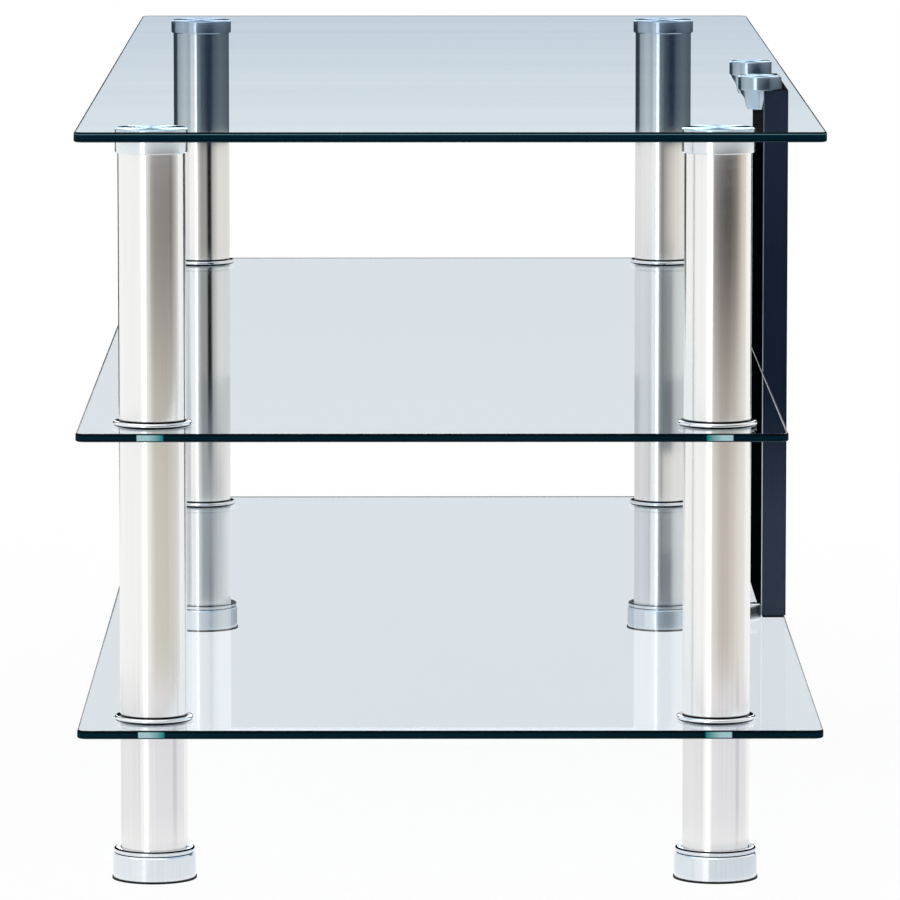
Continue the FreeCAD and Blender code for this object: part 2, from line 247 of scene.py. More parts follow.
def turned_piece(node, body, places, heights, radii, forward=False):
    """Like turned solids in place of a CAD node, one at each of the places, closed by a fan at both ends.

    Ring i of a solid lies heights[i] along its axis from its place, and radii[i, j] from the axis at
    turn j. The axis points up, or forward.
    """
    along = np.broadcast_to(heights[:, None], radii.shape)
    rings = np.stack([radii * np.cos(AROUND), radii * np.sin(AROUND), along], axis=-1).reshape(-1, 3)
    solid = np.concatenate([rings, [(0, 0, heights[0]), (0, 0, heights[-1])]])
    if forward:
        solid = solid[:, (0, 2, 1)] * (1, -1, 1)
    index = np.arange(len(rings)).reshape(radii.shape)
    after = np.roll(index, -1, axis=1)
    walls = np.stack([index[:-1], after[:-1], after[1:], index[1:]], axis=-1).reshape(-1, 4)
    first_pole = np.full(len(AROUND), len(rings))
    fans = np.concatenate([np.stack([first_pole, after[0], index[0]], axis=-1),
                           np.stack([first_pole + 1, index[-1], after[-1]], axis=-1)])
    steps = np.arange(len(places))[:, None, None] * len(solid)
    points = (np.array(places)[:, None] + solid).reshape(-1, 3)
    mesh = bpy.data.meshes.new("threaded_" + node)
    mesh.from_pydata(points.tolist(), [],
                     (steps + walls).reshape(-1, 4).tolist() + (steps + fans).reshape(-1, 3).tolist())
    mesh.shade_smooth()
    mesh.set_sharp_from_angle(angle=SHARP_ANGLE)
    mesh.materials.append(zinc)
    made = bpy.data.objects.new("threaded_" + node, mesh)
    bpy.context.scene.collection.objects.link(made)
    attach(made, body)
    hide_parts(node)


zinc = bright_zinc()
LEG_PLACES = {leg: middle_of(leg + "_foot_base").xy for leg in LEGS}
for leg in LEGS:
    low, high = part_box(leg + "_foot_bolt")
    head_rows = np.array([0, BOLT_HEAD_CHAMFER, BOLT_HEAD_HEIGHT - BOLT_HEAD_CHAMFER, BOLT_HEAD_HEIGHT])
    head_out = BOLT_HEAD_RADIUS - BOLT_HEAD_CHAMFER * np.array([1, 0, 0, 1])
    shank_rows = thread_rows(BOLT_HEAD_HEIGHT, high.z - low.z, STUD_PITCH)
    turned_piece(leg + "_foot_bolt", leg + "_foot", [(*LEG_PLACES[leg], low.z)],
                 np.concatenate([head_rows, shank_rows]),
                 np.concatenate([np.tile(head_out[:, None], len(AROUND)),
                                 stud_radii(shank_rows, high.z - low.z)]))

for node in ("cap_studs", "middle_shelf_studs", "bottom_shelf_studs"):
    low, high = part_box(node)
    stud_rows = thread_rows(0, high.z - low.z, STUD_PITCH)
    turned_piece(node, "stand", [(*place, low.z) for place in LEG_PLACES.values()], stud_rows,
                 stud_radii(stud_rows, high.z - low.z))

# Leg tubes. Each leg is three lengths of welded stainless tube, belt polished as it turns, so the
# polishing lines run round it and draw every highlight out along the tube.
TIERS = ("upper", "middle", "lower")


def polished_tube_steel():
    """Stainless tube, polished in the round: a near mirror across, blurred along, with faint draw lines.

    A dark band of painted shade marks where the tube enters a trim ring, as high again above the ring's
    top as below it.
    """
    polish_mm = 0.9  # real polishing lines are some 0.05 mm apart, drawn coarser to show
    polish_length_mm = 50.0
    draw_line_mm = 1.3
    draw_length_mm = 400.0
    ring_shade_half = 0.0013
    ring_shade_core = 0.0007
    material, tree, place = start_material("polished_stainless_tube")
    rings = add_node(tree, "Mapping",
                     {"Scale": (1000 / polish_length_mm, 1000 / polish_length_mm, 1000 / polish_mm)},
                     {"Vector": place})
    polish = add_node(tree, "TexNoise", {"Scale": 1.0, "Detail": 3.0}, {"Vector": rings})
    along = add_node(tree, "Mapping",
                     {"Scale": (1000 / draw_line_mm, 1000 / draw_line_mm, 1000 / draw_length_mm)},
                     {"Vector": place})
    draw = add_node(tree, "TexNoise", {"Scale": 1.0, "Detail": 2.0}, {"Vector": along})
    steel = add_node(tree, "Mix", {"data_type": "RGBA", 6: linear("#efeeec"), 7: linear("#f8f8f7")},
                     {0: draw})
    # Painted shade: a near-black band round the tube at the top of each trim ring.
    height = add_node(tree, "SeparateXYZ", {}, {0: place}).outputs["Z"]
    from_ring = []
    for ring in ("front_left_middle_ring", "front_left_bottom_ring"):
        above = add_node(tree, "Math", {"operation": "SUBTRACT", 1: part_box(ring)[1].z}, {0: height})
        from_ring.append(add_node(tree, "Math", {"operation": "ABSOLUTE"}, {0: above}))
    nearest = add_node(tree, "Math", {"operation": "MINIMUM"}, {0: from_ring[0], 1: from_ring[1]})
    painted_ring_shade = add_node(tree, "MapRange", {"From Min": ring_shade_half, "From Max": ring_shade_core}, {"Value": nearest})
    colour = add_node(tree, "Mix", {"data_type": "RGBA", 7: linear("#070707")},
                      {0: painted_ring_shade, 6: steel.outputs[2]})
    rough = add_node(tree, "MapRange", {"To Min": 0.16, "To Max": 0.24}, {"Value": polish})
    bump = add_node(tree, "Bump", {"Strength": 0.05, "Distance": 0.00002}, {"Height": polish})
    around = add_node(tree, "Tangent", {"direction_type": "RADIAL", "axis": "Z"})
    shader = add_node(tree, "BsdfPrincipled",
                      {"Metallic": 1.0, "Anisotropic": 0.8, "Anisotropic Rotation": 0.25},
                      {"Base Color": colour.outputs[2], "Roughness": rough, "Normal": bump,
                       "Tangent": around})
    add_node(tree, "OutputMaterial", {}, {"Surface": shader})
    return material


finish_nodes([leg + "_" + tier + "_tube" for leg in LEGS for tier in TIERS], polished_tube_steel())

# Tube plugs. A black nylon plug with a hub and webs is pressed into each end of each tube. It is
# moulded with glass fibre in it, and the stud or bolt screws into its hub.


def moulded_nylon():
    """Black glass-filled nylon: dull, with a fine tool texture and paler flow streaks."""
    texture_mm = 0.7
    flow_mm = 6.0
    material, tree, place = start_material("moulded_black_nylon")
    texture = add_node(tree, "TexNoise", {"Scale": 1000 / texture_mm, "Detail": 2.0}, {"Vector": place})
    flow = add_node(tree, "TexNoise", {"Scale": 1000 / flow_mm, "Detail": 4.0, "Distortion": 1.5},
                    {"Vector": place})
    colour = add_node(tree, "Mix", {"data_type": "RGBA", 6: linear("#17181a"), 7: linear("#2b2c2f")},
                      {0: flow})
    bump = add_node(tree, "Bump", {"Strength": 0.4, "Distance": 0.00005}, {"Height": texture})
    shader = add_node(tree, "BsdfPrincipled", {"IOR": 1.53, "Roughness": 0.45},
                      {"Base Color": colour.outputs[2], "Normal": bump})
    add_node(tree, "OutputMaterial", {}, {"Surface": shader})
    return material


finish_nodes([tier + "_tube_plugs" for tier in TIERS], moulded_nylon())

# Shelf gaskets. A thin washer of clear vinyl lies between each tube end and the glass. It is cut from
# soft sheet, spreads the load of the clamped leg and keeps the steel off the glass.
SHELVES = ("middle", "bottom")


def clear_vinyl():
    """Soft clear vinyl: milky where it is thick, with a dull skin and small cloudy patches."""
    cloud_mm = 3.0
    material, tree, place = start_material("clear_soft_vinyl")
    cloud = add_node(tree, "TexNoise", {"Scale": 1000 / cloud_mm, "Detail": 3.0}, {"Vector": place})
    colour = add_node(tree, "Mix", {"data_type": "RGBA", 6: linear("#dfe6e8"), 7: linear("#f2f5f5")},
                      {0: cloud})
    rough = add_node(tree, "MapRange", {"To Min": 0.25, "To Max": 0.4}, {"Value": cloud})
    shader = add_node(tree, "BsdfPrincipled", {"IOR": 1.53},
                      {"Base Color": colour.outputs[2], "Roughness": rough})
    add_node(tree, "OutputMaterial", {}, {"Surface": shader})
    return material


finish_nodes([shelf + "_shelf_gaskets" for shelf in SHELVES], clear_vinyl())

# Trim rings. A half-round ring, turned and chrome plated like the foot cups, drops over the tube and
# lies on the shelf to hide the joint. It has no rolled mouth, so its lip is set above the whole stand.
# The ring's underside, towards the shelf, is painted dark as painted shade.
ring_chrome = polished_chrome("ring_chrome_plate", dark_below=0.1, rough_least=0.03, rough_most=0.08,
                              lip_z=cad_box[1].z)
finish_nodes([leg + "_" + shelf + "_ring" for leg in LEGS for shelf in SHELVES], ring_chrome)

# Glass plates. They are float glass, cut, drilled, edge polished to a pencil round and tempered.
# Iron in the glass leaves the faces a faint cool grey and makes the long way through an edge dark.
GLASS_IOR = 1.52
HOLE_RADIUS = 0.008
EDGE_ROUND = 0.0012


def plate_faces(tree, place, ends, through, through_far, mirrored):
    """Shader of a plate's faces: bent through at the glass's index, with a small share mirrored.

    What passes keeps the colour through_far at the first of the plate's ends and through at the second;
    the fall between them is painted shade. The mirrored share grows up to mirrored at a glance, and is all
    of it where light can't leave the glass. Each of the two faces takes half of the colour, so it is the
    square root of the whole. Shadows get it too.
    """
    wave_mm = 180.0
    streak_mm = 45.0
    streak_length_mm = 900.0
    streak_share = 0.5
    mirror_straight = 0.012
    all_mirrored = 0.99
    streaks = add_node(tree, "Mapping", {"Scale": (1000 / streak_mm, 1000 / streak_length_mm, 1.0)},
                       {"Vector": place})
    streak = add_node(tree, "TexNoise", {"Scale": 1.0, "Detail": 3.0}, {"Vector": streaks})
    # Painted shade: the colour that passes falls from through to through_far along the plate.
    length = add_node(tree, "SeparateXYZ", {}, {0: place}).outputs["X"]
    along = add_node(tree, "MapRange",
                     {"From Min": ends[0], "From Max": ends[1], "To Min": -streak_share / 2,
                      "To Max": 1 - streak_share / 2}, {"Value": length})
    shade = add_node(tree, "Math", {"operation": "MULTIPLY_ADD", 1: streak_share}, {0: streak, 2: along})
    far, near = ((*np.sqrt(linear(tone)[:3]).tolist(), 1.0) for tone in (through_far, through))
    once = add_node(tree, "Mix", {"data_type": "RGBA", 6: far, 7: near}, {0: shade})
    bend = add_node(tree, "BsdfRefraction", {"Roughness": 0.0, "IOR": GLASS_IOR},
                    {"Color": once.outputs[2]})
    wave = add_node(tree, "TexNoise", {"Scale": 1000 / wave_mm, "Detail": 0.0}, {"Vector": place})
    roller_wave = add_node(tree, "Bump", {"Strength": 0.02, "Distance": 0.0005}, {"Height": wave})
    mirror = add_node(tree, "BsdfGlossy", {"Color": (1, 1, 1, 1), "Roughness": 0.0},
                      {"Normal": roller_wave})
    glance = add_node(tree, "LayerWeight", {"Blend": 0.3})
    share = add_node(tree, "MapRange", {"To Min": mirror_straight, "To Max": mirrored},
                     {"Value": glance.outputs["Facing"]})
    fresnel = add_node(tree, "Fresnel", {"IOR": GLASS_IOR})
    trapped = add_node(tree, "Math", {"operation": "GREATER_THAN", 1: all_mirrored}, {0: fresnel})
    kept_in = add_node(tree, "Math", {"operation": "MAXIMUM"}, {0: share, 1: trapped})
    face = add_node(tree, "MixShader", {}, {0: kept_in, 1: bend, 2: mirror})
    ray = add_node(tree, "LightPath")
    passing = add_node(tree, "BsdfTransparent", {}, {"Color": once.outputs[2]})
    return add_node(tree, "MixShader", {}, {0: ray.outputs["Is Shadow Ray"], 1: face, 2: passing})


def painted_hole_windows(tree, axes, edge):
    """Edge colour with a window of painted light, pale and one hole wide, in front of each drilled hole.

    It is painted where the way through the edge is short. The window turns teal towards the middle of the
    plate.
    """
    window_core = 0.94 * HOLE_RADIUS
    teal_start = -0.2 * HOLE_RADIUS
    teal_full = 0.9 * HOLE_RADIUS
    front_leg = middle_of("front_left_foot_base")
    rear_leg = middle_of("rear_left_foot_base")
    leg_middle = (front_leg.y + rear_leg.y) / 2
    from_middle = add_node(tree, "Math", {"operation": "SUBTRACT", 1: leg_middle}, {0: axes.outputs["Y"]})
    for offset, hole in ((from_middle, (rear_leg.y - front_leg.y) / 2),
                         (axes.outputs["X"], abs(front_leg.x))):
        out = add_node(tree, "Math", {"operation": "ABSOLUTE"}, {0: offset})
        inward = add_node(tree, "Math", {"operation": "SUBTRACT", 0: hole}, {1: out})
        off = add_node(tree, "Math", {"operation": "ABSOLUTE"}, {0: inward})
        # Painted light: a pale window on the edge in front of each hole, turning teal inwards.
        window = add_node(tree, "MapRange", {"From Min": HOLE_RADIUS, "From Max": window_core},
                          {"Value": off})
        inner = add_node(tree, "MapRange", {"From Min": teal_start, "From Max": teal_full},
                         {"Value": inward})
        tone = add_node(tree, "Mix", {"data_type": "RGBA", 6: linear("#b4dce2"), 7: linear("#0f8a8a")},
                        {0: inner})
        edge = add_node(tree, "Mix", {"data_type": "RGBA"},
                        {0: window, 6: edge.outputs[2], 7: tone.outputs[2]})
    return edge


def painted_edge_line(tree, axes, line_z, edge):
    """Edge colour with a thin pale line of painted light at a height, where light from the faces
    leaves the edge.
    """
    line_half = 0.00032
    line_core = 0.00016
    above = add_node(tree, "Math", {"operation": "SUBTRACT", 1: line_z}, {0: axes.outputs["Z"]})
    off = add_node(tree, "Math", {"operation": "ABSOLUTE"}, {0: above})
    # Painted light: a thin pale line along the edge at line_z.
    lit = add_node(tree, "MapRange", {"From Min": line_half, "From Max": line_core}, {"Value": off})
    return add_node(tree, "Mix", {"data_type": "RGBA", 7: linear("#5f8792")}, {0: lit, 6: edge.outputs[2]})


def tempered_glass(name, node, through, through_far, mirrored, drilled):
    """Clear sheet seen through its faces, with dark polished edges.

    The edge is told from the faces by its level normal. It is painted darkest towards its two arrises, a
    painted shade, and the lower arris is painted a little paler than the upper one, a painted light. A
    drilled plate has a window of painted light at each hole; one that isn't has a pale line of painted
    light just under its upper arris.
    """
    grade_mm = 111.1
    face_tilt = 0.97
    edge_tilt = 0.93
    arris_tilt = 0.15
    arris_full_tilt = 0.5
    side_tilt = 0.1
    rim_start = 0.7
    line_drop = 0.00005
    low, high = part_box(node)
    half_flat = (high.z - low.z) / 2 - EDGE_ROUND
    material, tree, place = start_material(name)
    axes = add_node(tree, "SeparateXYZ", {}, {0: place})
    faces = plate_faces(tree, place, (low.x, high.x), through, through_far, mirrored)

    normal = add_node(tree, "NewGeometry").outputs["Normal"]
    upward = add_node(tree, "SeparateXYZ", {}, {0: normal}).outputs["Z"]
    tilt = add_node(tree, "Math", {"operation": "ABSOLUTE"}, {0: upward})
    is_edge = add_node(tree, "MapRange", {"From Min": face_tilt, "From Max": edge_tilt}, {"Value": tilt})
    grade = add_node(tree, "TexNoise", {"Scale": 1000 / grade_mm, "Detail": 4.0}, {"Vector": place})
    deep = add_node(tree, "Mix", {"data_type": "RGBA", 6: linear("#02131f"), 7: linear("#063140")},
                    {0: grade})
    above = add_node(tree, "Math", {"operation": "SUBTRACT", 1: (low.z + high.z) / 2},
                     {0: axes.outputs["Z"]})
    off_middle = add_node(tree, "Math", {"operation": "ABSOLUTE"}, {0: above})
    # Painted shade: the edge darkens towards its two arrises.
    rim = add_node(tree, "MapRange", {"From Min": rim_start * half_flat, "From Max": half_flat},
                   {"Value": off_middle})
    edge = add_node(tree, "Mix", {"data_type": "RGBA", 7: linear("#020a10")}, {0: rim, 6: deep.outputs[2]})
    if drilled:
        edge = painted_hole_windows(tree, axes, edge)
    else:
        edge = painted_edge_line(tree, axes, high.z - EDGE_ROUND - line_drop, edge)
    arris = add_node(tree, "MapRange", {"From Min": arris_tilt, "From Max": arris_full_tilt},
                     {"Value": tilt})
    is_upper = add_node(tree, "MapRange", {"From Min": -side_tilt, "From Max": side_tilt},
                        {"Value": upward})
    # Painted light: the lower arris is painted a little paler than the upper one.
    painted_arris_light = add_node(tree, "Mix", {"data_type": "RGBA", 6: linear("#2a414b"), 7: linear("#0b1820")},
                          {0: is_upper})
    rounded = add_node(tree, "Mix", {"data_type": "RGBA"},
                       {0: arris, 6: edge.outputs[2], 7: painted_arris_light.outputs[2]})
    edge_skin = add_node(tree, "BsdfPrincipled",
                         {"Roughness": 0.1, "IOR": GLASS_IOR, "Specular IOR Level": 0.015},
                         {"Base Color": rounded.outputs[2]})
    whole = add_node(tree, "MixShader", {}, {0: is_edge, 1: faces, 2: edge_skin})
    add_node(tree, "OutputMaterial", {}, {"Surface": whole})
    return material


for shelf in SHELVES:
    shelf_glass = tempered_glass("tempered_" + shelf + "_shelf_glass", shelf + "_shelf", through="#f0f8fd",
                                 through_far="#eff7fd", mirrored=0.25, drilled=True)
    finish_nodes([shelf + "_shelf"], shelf_glass)
# The top glass is painted darker towards its far end, a painted shade.
top_glass = tempered_glass("tempered_top_glass", "top_glass", through="#d9e4ea", through_far="#c4d0dd",
                           mirrored=0.02, drilled=False)
finish_nodes(["top_glass"], top_glass)

# Leg caps. Each is a steel disc turned flat, chrome plated and bonded under the top glass, so that
# its turned face is seen through the glass. The upper tube's stud screws into it.


def turned_chrome(node):
    """Chrome over a face turned in a lathe, with a painted bow tie of highlight and shade like the one its
    fine rings fan out.

    The painted fan is set by how far a point of the face lies along the stand's length from the disc's
    middle, as a share of its distance from the middle: a dark wedge of painted shade just behind the line
    across, painted highlights at its sides. The dark wedges aren't metallic, because metal pales at a
    glance.
    """
    haze_mm = 16.67
    wedge_light = 0.02
    metal_light = 0.4
    side_tilt = 0.8
    face_tilt = 0.9
    middle = middle_of(node)
    material, tree, place = start_material("turned_chrome_" + node)
    haze = add_node(tree, "TexNoise", {"Scale": 1000 / haze_mm, "Detail": 5.0}, {"Vector": place})
    plate = add_node(tree, "Mix", {"data_type": "RGBA", 6: linear("#e2e9ee"), 7: linear("#eff2f4")},
                     {0: haze})
    off = add_node(tree, "VectorMath", {"operation": "SUBTRACT", 1: (middle.x, middle.y, 0)}, {0: place})
    flat = add_node(tree, "VectorMath", {"operation": "MULTIPLY", 1: (1, 1, 0)}, {0: off})
    radial = add_node(tree, "VectorMath", {"operation": "NORMALIZE"}, {0: flat})
    across = add_node(tree, "SeparateXYZ", {}, {0: radial})
    share = add_node(tree, "MapRange", {"From Min": -1.0, "From Max": 1.0}, {"Value": across.outputs["X"]})
    # Painted highlights and painted shade: the bow tie on the turned face.
    fan = add_node(tree, "ValToRGB", {"stops": [
        (0.0, "#8fa3aa"), (0.08, "#dde6e9"), (0.14, "#f5f8f9"), (0.2, "#16262e"), (0.47, "#0b161c"),
        (0.55, "#dfe9ec"), (0.7, "#f5f8f9"), (0.84, "#d5e2e6"), (0.92, "#8fa6ae"), (1.0, "#5b737c")]},
                   {0: share})
    bright = add_node(tree, "MapRange", {"From Min": wedge_light, "From Max": metal_light}, {"Value": fan})
    normal = add_node(tree, "NewGeometry").outputs["Normal"]
    upward = add_node(tree, "SeparateXYZ", {}, {0: normal}).outputs["Z"]
    is_face = add_node(tree, "MapRange", {"From Min": side_tilt, "From Max": face_tilt}, {"Value": upward})
    colour = add_node(tree, "Mix", {"data_type": "RGBA"}, {0: is_face, 6: plate.outputs[2], 7: fan})
    metal = add_node(tree, "Mix", {"data_type": "FLOAT", 2: 1.0}, {0: is_face, 3: bright})
    rough = add_node(tree, "MapRange", {"To Min": 0.2, "To Max": 0.28}, {"Value": haze})
    around = add_node(tree, "Tangent", {"direction_type": "RADIAL", "axis": "Z"})
    shader = add_node(tree, "BsdfPrincipled",
                      {"Specular IOR Level": 0.0, "Anisotropic": 0.85, "Anisotropic Rotation": 0.25},
                      {"Base Color": colour.outputs[2], "Metallic": metal, "Roughness": rough,
                       "Tangent": around})
    add_node(tree, "OutputMaterial", {}, {"Surface": shader})
    return material


for leg in LEGS:
    finish_nodes([leg + "_cap"], turned_chrome(leg + "_cap"))

# Back board. A strip of fibreboard, lacquered gloss black on its faces and edged with satin black
# tape, stands on a rubber pad on the bottom shelf and steadies the top glass at the rear.


def black_lacquer():
    """Black lacquer on fibreboard: deep black faces, blue-black taped ends painted lighter near the foot and
    at the top, a painted light, and a painted highlight down the front corners.
    """
    peel_mm = 5.0
    tape_mm = 0.8
    end_start = 0.9
    end_full = 0.98
    corner_start = 0.25
    corner_full = 0.4
    low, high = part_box("back_panel")
    material, tree, place = start_material("black_lacquered_board")
    peel = add_node(tree, "TexNoise", {"Scale": 1000 / peel_mm, "Detail": 2.0}, {"Vector": place})
    tape = add_node(tree, "TexNoise", {"Scale": 1000 / tape_mm, "Detail": 2.0}, {"Vector": place})
    normal = add_node(tree, "NewGeometry").outputs["Normal"]
    facing = add_node(tree, "SeparateXYZ", {}, {0: normal})
    end = add_node(tree, "Math", {"operation": "ABSOLUTE"}, {0: facing.outputs["X"]})
    is_end = add_node(tree, "MapRange", {"From Min": end_start, "From Max": end_full}, {"Value": end})
    height = add_node(tree, "SeparateXYZ", {}, {0: place}).outputs["Z"]
    rise = add_node(tree, "MapRange", {"From Min": low.z, "From Max": high.z}, {"Value": height})
    # Painted light: the taped ends are lighter near the foot and at the top, darker between.
    painted_end_light = add_node(tree, "ValToRGB", {"stops": [
        (0.0, "#3c4656"), (0.2, "#394353"), (0.42, "#1d2637"), (0.7, "#1f283a"), (1.0, "#28324a")]},
                     {0: rise})
    grain = add_node(tree, "MapRange", {"To Min": 0.75, "To Max": 1.25}, {"Value": tape})
    tone = add_node(tree, "Mix", {"data_type": "RGBA", "blend_type": "MULTIPLY", 0: 1.0},
                    {6: painted_end_light, 7: grain})
    faces = add_node(tree, "Mix", {"data_type": "RGBA", 6: linear("#020307"), 7: linear("#07090e")},
                     {0: peel})
    flat = add_node(tree, "Mix", {"data_type": "RGBA"},
                    {0: is_end, 6: faces.outputs[2], 7: tone.outputs[2]})
    # Painted highlight down the front corners, brightest low down.
    to_end = add_node(tree, "MapRange", {"From Min": corner_start, "From Max": corner_full}, {"Value": end})
    to_front = add_node(tree, "MapRange", {"From Min": -corner_start, "From Max": -corner_full},
                        {"Value": facing.outputs["Y"]})
    corner = add_node(tree, "Math", {"operation": "MULTIPLY"}, {0: to_end, 1: to_front})
    painted_corner_highlight = add_node(tree, "ValToRGB", {"stops": [(0.3, "#f4f6f8"), (0.6, "#9aa1ab")]}, {0: rise})
    colour = add_node(tree, "Mix", {"data_type": "RGBA"}, {0: corner, 6: flat.outputs[2], 7: painted_corner_highlight})
    bump = add_node(tree, "Bump", {"Strength": 0.06, "Distance": 0.0001}, {"Height": peel})
    rough = add_node(tree, "MapRange", {"To Min": 0.2, "To Max": 0.45}, {"Value": is_end})
    shader = add_node(tree, "BsdfPrincipled", {"IOR": 1.5, "Specular IOR Level": 0.0},
                      {"Base Color": colour.outputs[2], "Roughness": rough, "Normal": bump})
    add_node(tree, "OutputMaterial", {}, {"Surface": shader})
    return material


finish_nodes(["back_panel"], black_lacquer())
finish_nodes(["panel_pad"], rubber)

# Board fittings. Two chromed discs bonded under the top glass carry a lug for the screw into the
# board; two more, bonded on the bottom shelf, stop its foot. The screws are zinc plated like the
# studs, with a rolled thread, a point and a pan head with a cross recess.
SIDES = ("left", "right")
SCREW_RADIUS = 0.002
SCREW_PITCH = 0.0018
SCREW_DEPTH = 0.0007
SCREW_POINT_SLOPE = 0.6
SCREW_HEAD_RADIUS = 0.0035
SCREW_HEAD_HEIGHT = 0.0024
RECESS_ARM = 0.0019
RECESS_HALF_WIDTH = 0.0005
RECESS_DEPTH = 0.0015
RECESS_FLOOR_SHARE = 0.55


def cross_recess():
    """Radius of a cross of four arms at each turn: an arm's length, or less where its side is nearer."""
    least_sine = 0.01
    from_arm = np.abs((AROUND + math.pi / 4) % (math.pi / 2) - math.pi / 4)
    return np.minimum(RECESS_ARM, RECESS_HALF_WIDTH / np.maximum(np.sin(from_arm), least_sine))


for node in [side + part for side in SIDES for part in ("_panel_bracket", "_panel_stop")]:
    finish_nodes([node], turned_chrome(node))

low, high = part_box("bracket_screws")
screw_length = high.y - low.y
shank_rows = thread_rows(0, screw_length - SCREW_HEAD_HEIGHT, SCREW_PITCH)
shank_radii = np.minimum(rolled_thread(shank_rows, SCREW_RADIUS, SCREW_PITCH, SCREW_DEPTH),
                         SCREW_POINT_SLOPE * (shank_rows[:, None] + SCREW_DEPTH / 2))
pan_rows = screw_length - SCREW_HEAD_HEIGHT * np.array([1, 0.5, 0.2, 0.06, 0])
pan_out = SCREW_HEAD_RADIUS * np.array([1, 1, 0.92, 0.78, 0.64])
recess_rows = screw_length - RECESS_DEPTH * np.array([0, 1])
recess_radii = np.array([1, RECESS_FLOOR_SHARE])[:, None] * cross_recess()
screw_places = [(middle_of(side + "_panel_bracket").x, high.y, (low.z + high.z) / 2) for side in SIDES]
turned_piece("bracket_screws", "stand", screw_places, np.concatenate([shank_rows, pan_rows, recess_rows]),
             np.concatenate([shank_radii, np.tile(pan_out[:, None], len(AROUND)), recess_radii]),
             forward=True)

# Floor. A plain white paper floor that runs out past the picture. It isn't part of the stand, and
# keeps the stand's soft shadow.
FLOOR_HALF = 60.0
SHADOW_REACH = 1.6


def sheet(name, corners, faces):
    """A thin sheet of four-sided faces over the corners."""
    mesh = bpy.data.meshes.new(name)
    mesh.from_pydata(corners, [], faces)
    made = bpy.data.objects.new(name, mesh)
    bpy.context.scene.collection.objects.link(made)
    return made


def seen_white(tree):
    """Node that gives one for a ray from the camera, or one that a mirror or glass passes on."""
    ray = add_node(tree, "LightPath").outputs
    either = add_node(tree, "Math", {"operation": "MAXIMUM"},
                      {0: ray["Is Camera Ray"], 1: ray["Is Glossy Ray"]})
    return add_node(tree, "Math", {"operation": "MAXIMUM"}, {0: either, 1: ray["Is Transmission Ray"]})


def white_floor():
    """White paper near the stand, where shadows fall on it, and plain white beyond."""
    fibre_mm = 25.0
    plain_least = 0.93
    material, tree, place = start_material("white_paper_floor")
    fibre = add_node(tree, "TexNoise", {"Scale": 1000 / fibre_mm, "Detail": 4.0}, {"Vector": place})
    paper_colour = add_node(tree, "Mix", {"data_type": "RGBA", 6: linear("#f1f1f1"), 7: linear("#f6f6f6")},
                            {0: fibre})
    paper = add_node(tree, "BsdfDiffuse", {}, {"Color": paper_colour.outputs[2]})
    white = add_node(tree, "Emission", {"Color": (1, 1, 1, 1), "Strength": 1.0})
    away = add_node(tree, "VectorMath", {"operation": "LENGTH"}, {0: place})
    plain = add_node(tree, "MapRange", {"From Max": SHADOW_REACH, "To Min": plain_least, "To Max": 1.0},
                     {"Value": away.outputs["Value"]})
    share = add_node(tree, "Math", {"operation": "MULTIPLY"}, {0: plain, 1: seen_white(tree)})
    mix = add_node(tree, "MixShader", {}, {0: share, 1: paper, 2: white})
    add_node(tree, "OutputMaterial", {}, {"Surface": mix})
    return material


floor = sheet("floor", [(-FLOOR_HALF, -FLOOR_HALF, 0), (FLOOR_HALF, -FLOOR_HALF, 0),
                        (FLOOR_HALF, FLOOR_HALF, 0), (-FLOOR_HALF, FLOOR_HALF, 0)], [(0, 1, 2, 3)])
floor.data.materials.append(white_floor())

# Studio. White surroundings, a large soft lamp overhead, a strip lamp at the front right and a third
# lamp past the left end. Glowing cards, dark and pale, stand round the legs and the board's fittings
# and paint reflections into polished metal only, apart from the dark card past the left end, which
# the glass shows too.
WORLD_FILL = 0.62

scene = bpy.context.scene
world = bpy.data.worlds.new("white_studio")
world.use_nodes = True
sky = world.node_tree
sky.nodes.clear()
level = add_node(sky, "MapRange", {"To Min": WORLD_FILL, "To Max": 1.0}, {"Value": seen_white(sky)})
background = add_node(sky, "Background", {"Color": (1, 1, 1, 1)}, {"Strength": level})
add_node(sky, "OutputWorld", {}, {"Surface": background})
scene.world = world


def soft_lamp(name, place, aim, width, height, brightness):
    """A soft box at place, facing aim; brightness is what its front shows, with 1 as white."""
    lamp = bpy.data.lights.new(name, "AREA")
    lamp.shape = "RECTANGLE"
    lamp.size = width
    lamp.size_y = height
    lamp.energy = brightness * math.pi * width * height
    made = bpy.data.objects.new(name, lamp)
    made.location = place
    facing = np.subtract(aim, place)
    made.rotation_euler = (math.atan2(np.hypot(facing[0], facing[1]), -facing[2]), 0,
                           math.atan2(facing[1], facing[0]) - math.pi / 2)
    made.visible_camera = False
    scene.collection.objects.link(made)


soft_lamp("overhead_box", place=(0.3, -0.5, 2.6), aim=(0, 0, 0.2), width=2.2, height=2.2, brightness=0.9)
soft_lamp("strip_box", place=(3.68, -1.6, 0.9), aim=(0.5, 0, 0.3), width=1.0, height=1.8, brightness=2.0)
soft_lamp("rear_box", place=(-3.2, 0.0, 1.3), aim=(0, 0, 0.45), width=2.4, height=1.1, brightness=3.0)


